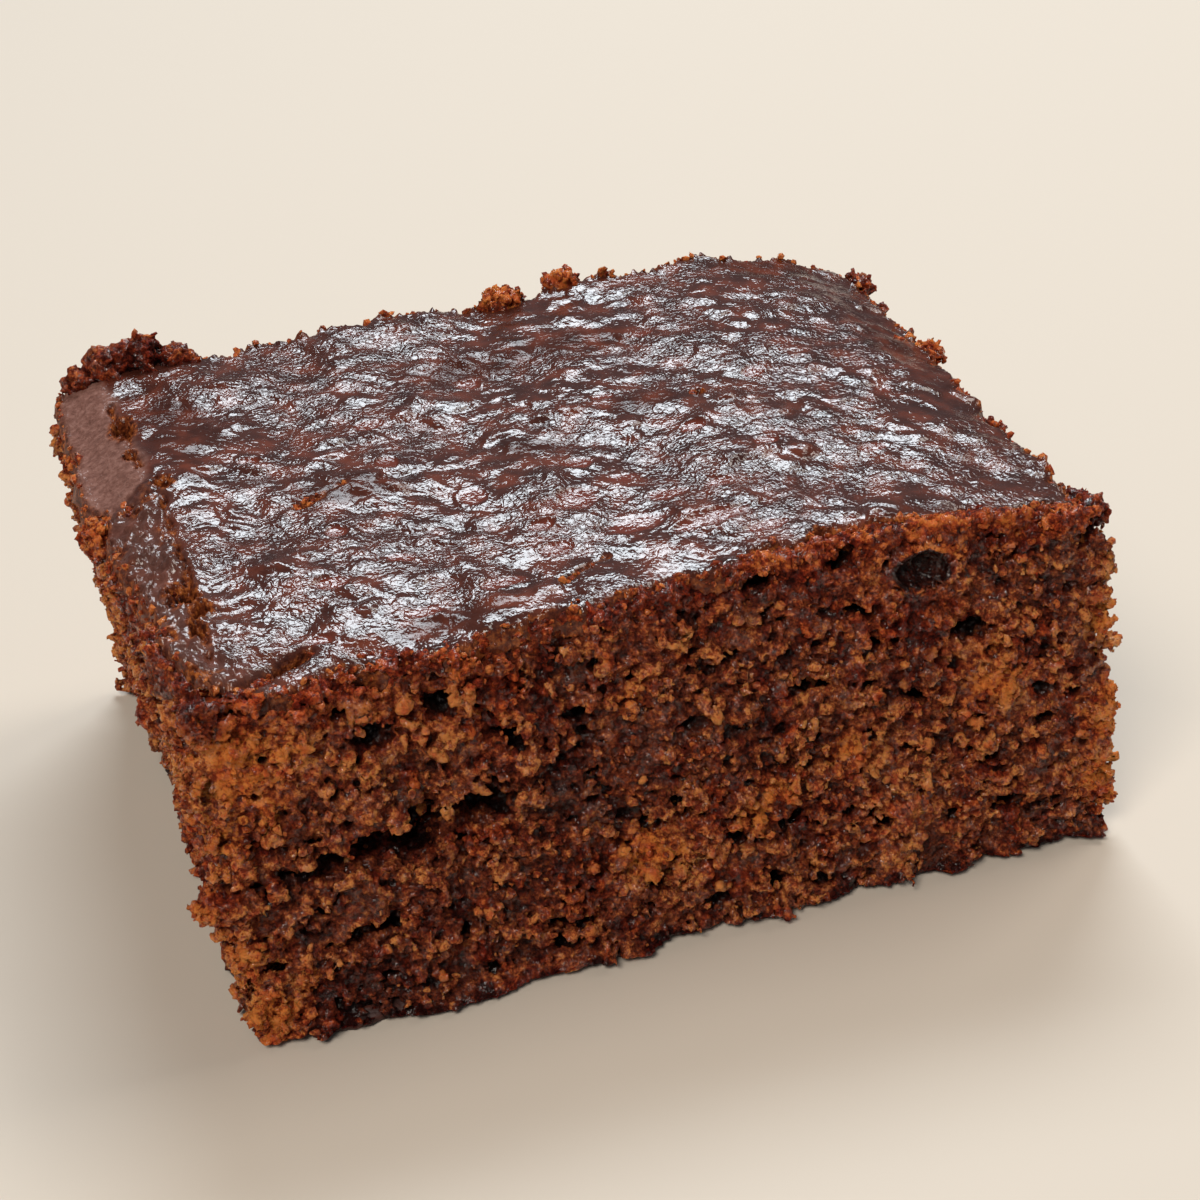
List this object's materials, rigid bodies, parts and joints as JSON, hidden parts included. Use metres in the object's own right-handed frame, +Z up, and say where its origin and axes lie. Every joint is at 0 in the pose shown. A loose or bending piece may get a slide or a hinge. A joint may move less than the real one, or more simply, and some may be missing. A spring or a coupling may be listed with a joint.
{
  "type": "sticky toffee pudding",
  "caption": "Square-cut slice of sticky toffee pudding: a dense, moist date sponge with open crumbly cut faces and a glossy toffee-soaked top.",
  "frame": {"origin": "on the underside, below the middle of the slice's outline", "axes": "+Z up; +X along the long cut face, to the right as that face is looked at; the long cut face that shows the tunnel looks along -Y"},
  "size_m": [0.079, 0.059, 0.0352],
  "materials": {
    "sponge": "moist open crumb",
    "toffee_skin": "glossy, finely wrinkled toffee soak",
    "base_crust": "dark baked underside"
  },
  "bodies": {
    "root": {"sponge": "sponge"}
  },
  "joints": []
}
